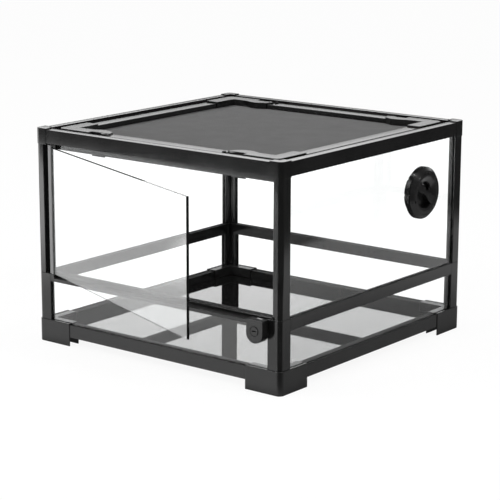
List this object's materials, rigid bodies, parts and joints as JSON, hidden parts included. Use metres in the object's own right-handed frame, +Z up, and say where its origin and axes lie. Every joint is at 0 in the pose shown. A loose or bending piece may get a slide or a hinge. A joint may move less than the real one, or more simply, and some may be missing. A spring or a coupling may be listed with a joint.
{
  "type": "reptile terrarium",
  "caption": "Low glass terrarium: tank with an upper case, hinged glass front door with a key lock, a turning side vent and a lift-off screen lid held by clips.",
  "frame": {"origin": "centre of the case's footprint on the plane that the feet stand on", "axes": "+Z up, -Y towards the front with the door, +X to the right as seen from the front"},
  "size_m": [0.4614, 0.5959, 0.3215],
  "materials": {
    "frame_plastic": "fine satin moulding",
    "foot_plastic": "fine texture",
    "glass": "clear float glass, cut edges",
    "floor_pane": "smooth glass, dark coated underside",
    "door_glass": "clear glass with a light reflection",
    "hinge_plastic": "satin extrusion",
    "seal_plastic": "soft satin strip",
    "steel": "satin",
    "lock_plastic": "semi-gloss",
    "key_metal": "black coating, semi-gloss",
    "gasket_rubber": "matte",
    "vent_plastic": "satin",
    "lid_plastic": "satin",
    "screen": "fine woven wire, dark coating"
  },
  "bodies": {
    "root": {"bottom_rail_front": "frame_plastic", "bottom_rail_back": "frame_plastic", "bottom_rail_left": "frame_plastic", "bottom_rail_right": "frame_plastic", "mid_rail_front": "frame_plastic", "mid_rail_back": "frame_plastic", "mid_rail_left": "frame_plastic", "mid_rail_right": "frame_plastic", "top_rail_front": "frame_plastic", "top_rail_back": "frame_plastic", "top_rail_left": "frame_plastic", "top_rail_right": "frame_plastic", "lower_post_fl": "frame_plastic", "lower_post_fr": "frame_plastic", "lower_post_bl": "frame_plastic", "lower_post_br": "frame_plastic", "upper_post_fl": "frame_plastic", "upper_post_fr": "frame_plastic", "upper_post_bl": "frame_plastic", "upper_post_br": "frame_plastic", "top_cap_fl": "frame_plastic", "top_cap_fr": "frame_plastic", "top_cap_bl": "frame_plastic", "top_cap_br": "frame_plastic", "foot_fl": "foot_plastic", "foot_fr": "foot_plastic", "foot_bl": "foot_plastic", "foot_br": "foot_plastic", "lower_glass_front": "glass", "lower_glass_back": "glass", "lower_glass_left": "glass", "lower_glass_right": "glass", "upper_glass_back": "glass", "upper_glass_left": "glass", "upper_glass_right": "glass", "floor_glass": "floor_pane", "door_seal": "seal_plastic", "door_magnet": "steel", "lock_housing": "lock_plastic", "vent_gasket": "gasket_rubber", "vent_body": "vent_plastic", "vent_nut": "vent_plastic"},
    "door": {"door_glass": "door_glass", "door_hinge_strip": "hinge_plastic"},
    "lock_core": {"lock_cylinder": "key_metal"},
    "lock_bar": {"lock_bolt": "steel"},
    "vent_dial": {"vent_cap": "vent_plastic"},
    "lid": {"lid_rail_front": "lid_plastic", "lid_rail_back": "lid_plastic", "lid_rail_left": "lid_plastic", "lid_rail_right": "lid_plastic", "lid_corner_fl": "lid_plastic", "lid_corner_fr": "lid_plastic", "lid_corner_bl": "lid_plastic", "lid_corner_br": "lid_plastic", "lid_mesh": "screen"},
    "clip_fl": {"lid_clip_fl": "lid_plastic"},
    "clip_fr": {"lid_clip_fr": "lid_plastic"},
    "clip_bl": {"lid_clip_bl": "lid_plastic"},
    "clip_br": {"lid_clip_br": "lid_plastic"}
  },
  "joints": [
    {"name": "door_hinge", "type": "hinge", "parent": "root", "child": "door", "pos_m": [-0.2002, -0.2205, 0.2], "axis": [0, 0, -1], "range_deg": [-21, 89]},
    {"name": "lock_turn", "type": "hinge", "parent": "root", "child": "lock_core", "pos_m": [0.1908, -0.225, 0.089], "axis": [0, -1, 0], "range_deg": [0, 90]},
    {"name": "bolt_slide", "type": "slide", "parent": "root", "child": "lock_bar", "axis": [0, 0, 1], "range_m": [0, 0.0061]},
    {"name": "vent_turn", "type": "hinge", "parent": "root", "child": "vent_dial", "pos_m": [0.225, 0.1115, 0.2286], "axis": [1, 0, 0], "range_deg": [-90, 0]},
    {"name": "lid_lift", "type": "slide", "parent": "root", "child": "lid", "axis": [0, 0, 1], "range_m": [0, 0.04]},
    {"name": "clip_fl_slide", "type": "slide", "parent": "lid", "child": "clip_fl", "axis": [0, 1, 0], "range_m": [-0.004, 0]},
    {"name": "clip_fr_slide", "type": "slide", "parent": "lid", "child": "clip_fr", "axis": [0, 1, 0], "range_m": [-0.004, 0]},
    {"name": "clip_bl_slide", "type": "slide", "parent": "lid", "child": "clip_bl", "axis": [0, -1, 0], "range_m": [-0.004, 0]},
    {"name": "clip_br_slide", "type": "slide", "parent": "lid", "child": "clip_br", "axis": [0, -1, 0], "range_m": [-0.004, 0]}
  ],
  "couplings": [
    {"joint": "bolt_slide", "follows": "lock_turn", "m_per_rad": 0.003871}
  ]
}
